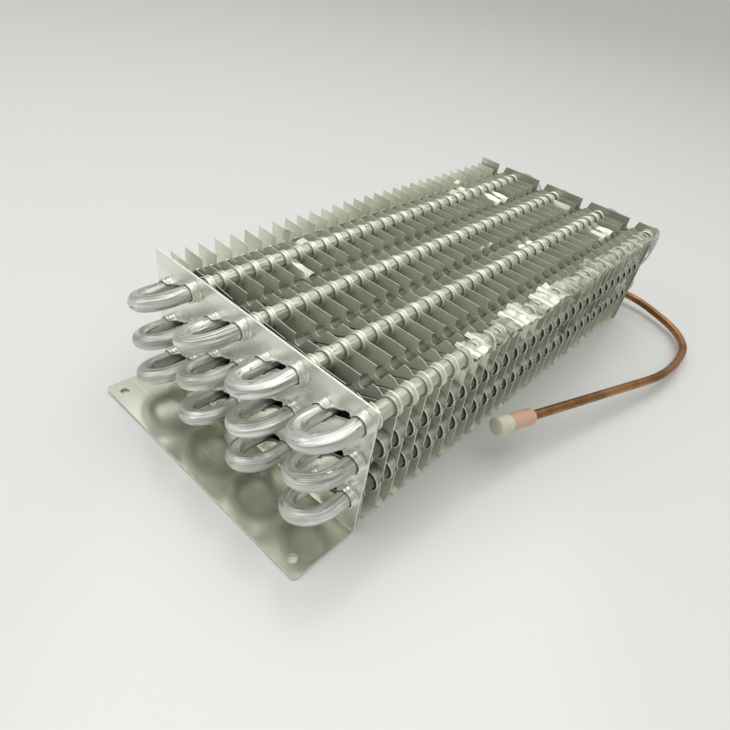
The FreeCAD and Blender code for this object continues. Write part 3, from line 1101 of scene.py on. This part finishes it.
def folded_sheet():
    """The near plate's middle surface: upright part, fold and foot, with slots and screw holes."""
    half = PLATE_THICKNESS / 2
    bend = PLATE_FOLD
    stations = [RIGHT + (LEFT - RIGHT) * i / 50 for i in range(51)]
    upright = [(y, half + bend) for y in reversed(stations)]
    upright += [(RIGHT, z) for z in range(5, 75, 3)] + [(RIGHT, TOP)]
    upright += [(y, TOP) for y in stations[1:]] + [(LEFT, z) for z in range(74, 4, -3)]
    holes = [[p[:2] for p in loop] for loop in PLATE_LOOPS]
    flat, triangles = flat_sheet(upright, holes, 4.0)
    x = NEAR_FACE + half
    points = [(x + plate_bow(y, z), y, z) for y, z in flat]
    faces = list(triangles)
    steps = 6
    first = len(points)
    for i in range(steps + 1):
        turn = math.pi / 2 * i / steps
        fold_x = x - bend + bend * math.cos(turn)
        fold_z = half + bend - bend * math.sin(turn)
        points += [(fold_x, y, fold_z) for y in stations]
    across = len(stations)
    for i in range(steps):
        for k in range(across - 1):
            a = first + i * across + k
            faces.append((a, a + 1, a + across + 1, a + across))
    end = x - bend
    side = end - FOOT_EDGE - FOOT_CORNER
    front = LEFT - RIGHT - 2 * FOOT_CORNER
    foot = [(end, y) for y in stations]
    foot += [(end - i * side / 8, LEFT) for i in range(1, 9)]
    foot += [(FOOT_EDGE, LEFT - FOOT_CORNER - i * front / 40) for i in range(41)]
    foot += [(FOOT_EDGE + FOOT_CORNER + i * side / 8, RIGHT) for i in range(8)]
    holes = [circle((0.0, side * FOOT_HOLE_Y), FOOT_HOLE_RADIUS, 28) for side in (-1, 1)]
    flat, triangles = flat_sheet(foot, holes, 4.0)
    first = len(points)
    points += [(x, y, half + foot_lift(x, y)) for x, y in flat]
    faces += [tuple(first + i for i in face) for face in triangles]
    return joined([new_mesh("folded_near_plate", points, faces)], merge=0.00001)


def plate_collar(hole):
    """The ribbed rim round both legs of a hairpin, torn low between them."""

    def profile(i, place):
        y, z, along, dy, dz = place
        to_leg = min(abs(along), abs(along - SPAN))
        between_legs = smooth(3.2, 6.0, to_leg) if 0 < along < SPAN else 0.0
        torn = between_legs * (0.5 + 0.5 * wobble(hole + 500, y * 0.9, z * 0.9))
        full = PLATE_RIM_HEIGHT * (1 + 0.1 * wobble(hole + 400, dy * 2, dz * 2))
        rise = full * (1 - between_legs) + 2.2 * torn + 0.25
        edge = 0.7 * between_legs * wobble(hole + 600, y * 0.7, z * 0.7)
        base = NEAR_FACE + plate_bow(y, z) + 0.1
        return [(base - rise * share, y + dy * (out + edge * share), z + dz * (out + edge * share))
                for share, out in PLATE_RIM]

    return band(PLATE_LOOPS[hole], profile)


def near_plate():
    """The near plate folded into its foot, with its collars."""
    meshes = [thick_sheet(folded_sheet(), PLATE_THICKNESS, [PLATE, EDGE_HIGHLIGHT])]
    meshes += [new_mesh("collar", *plate_collar(hole)) for hole in range(len(PLATE_LOOPS))]
    new_piece("folded_near_plate", joined(meshes), [PLATE, EDGE_HIGHLIGHT], "near_end_plate", 30)


def outlet_cap():
    """Soft cap: thin sleeve over the pipe and a wider rounded head."""
    route = pipe_route()
    tip = route[-1]
    along = (tip - route[-3]).normalized()
    start = tip - along * CAP_BACK
    side = along.orthogonal().normalized()
    up = along.cross(side)
    sides = 48
    points = []
    places = []
    for x, r in CAP_OUTLINE:
        for k in range(sides):
            turn = 2 * math.pi * k / sides
            wave = 1 + 0.012 * wobble(70, x * 0.2, math.cos(turn), math.sin(turn))
            points.append(start + along * x + (side * math.cos(turn) + up * math.sin(turn)) * r * wave)
            places.append((x, r * math.cos(turn), r * math.sin(turn)))
    faces = ring_faces(len(CAP_OUTLINE), sides)
    mesh = new_mesh("soft_cap", points, faces)
    mark_wrap(mesh, places)
    new_piece("soft_cap", mesh, [CAP], "outlet_cap", 60)


def carried_nodes():
    """Nodes whose CAD shape is right get only a finish."""
    finishes = {"far_end_plate": FAR_PLATE, "joint_sleeve": joint_finish(), "inlet_cap": inlet_cap_finish()}
    for name, material in finishes.items():
        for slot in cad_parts[name].material_slots:
            slot.material = material


# Surroundings

def floor():
    """The floor, a hair below the object's lowest face."""
    size = 12.0
    mesh = bpy.data.meshes.new("floor")
    mesh.from_pydata([(-size, -size, 0), (size, -size, 0), (size, size, 0), (-size, size, 0)], [],
                     [(0, 1, 2, 3)])
    mesh.materials.append(floor_finish())
    ground = bpy.data.objects.new("floor", mesh)
    bpy.context.scene.collection.objects.link(ground)
    ground.location.z = -0.0004


def lamp(name, place, target, size, power):
    """A square lamp that looks at a target."""
    light = bpy.data.lights.new(name, "AREA")
    light.shape = "SQUARE"
    light.size = size
    light.energy = power
    holder = bpy.data.objects.new(name, light)
    bpy.context.scene.collection.objects.link(holder)
    holder.location = place
    holder.rotation_euler = (Vector(target) - Vector(place)).to_track_quat("-Z", "Y").to_euler()


def surroundings():
    """Plain studio light: a grey sky, a ceiling panel and a window."""
    world = bpy.data.worlds.new("studio")
    bpy.context.scene.world = world
    world.use_nodes = True
    sky = Nodes(world.node_tree)
    where = sky.add("ShaderNodeTexCoord", output="Generated")
    height = sky.add("ShaderNodeSeparateXYZ", None, {0: where}, "Z")
    levels = ((0.0, 0.36), (0.2, 0.26), (0.5, 0.50), (0.85, 0.95))
    stops = [(place, (level, level, level * 0.98, 1)) for place, level in levels]
    colour = sky.add("ShaderNodeValToRGB", {"stops": stops}, {0: height})
    background = world.node_tree.nodes["Background"]
    sky.put(background.inputs["Color"], colour)
    background.inputs["Strength"].default_value = 1.05
    lamp("ceiling panel", (0.5, 0.2, 1.6), (0.3, 0.05, 0.0), 1.7, 10.5)
    lamp("window", (-1.2, 0.9, 0.9), (0.1, 0.0, 0.05), 0.9, 4.5)


def camera():
    """The camera at the photograph's angle."""
    view = bpy.data.cameras.new("camera")
    view.lens = 28.265
    view.sensor_width = 36.0
    view.clip_start = 0.01
    holder = bpy.data.objects.new("camera", view)
    bpy.context.scene.collection.objects.link(holder)
    holder.location = (-0.10245, -0.16132, 0.22013)
    holder.rotation_euler = Euler([math.radians(a) for a in (51.3637, -8.3593, -47.0703)], "XYZ")
    bpy.context.scene.camera = holder


camera()
surroundings()
floor()
tube_coil()
outlet_pipe()
outlet_cap()
near_plate()
for index in range(FIN_COUNT):
    fin(index)
carried_nodes()
bpy.context.scene.view_settings.view_transform = "Standard"
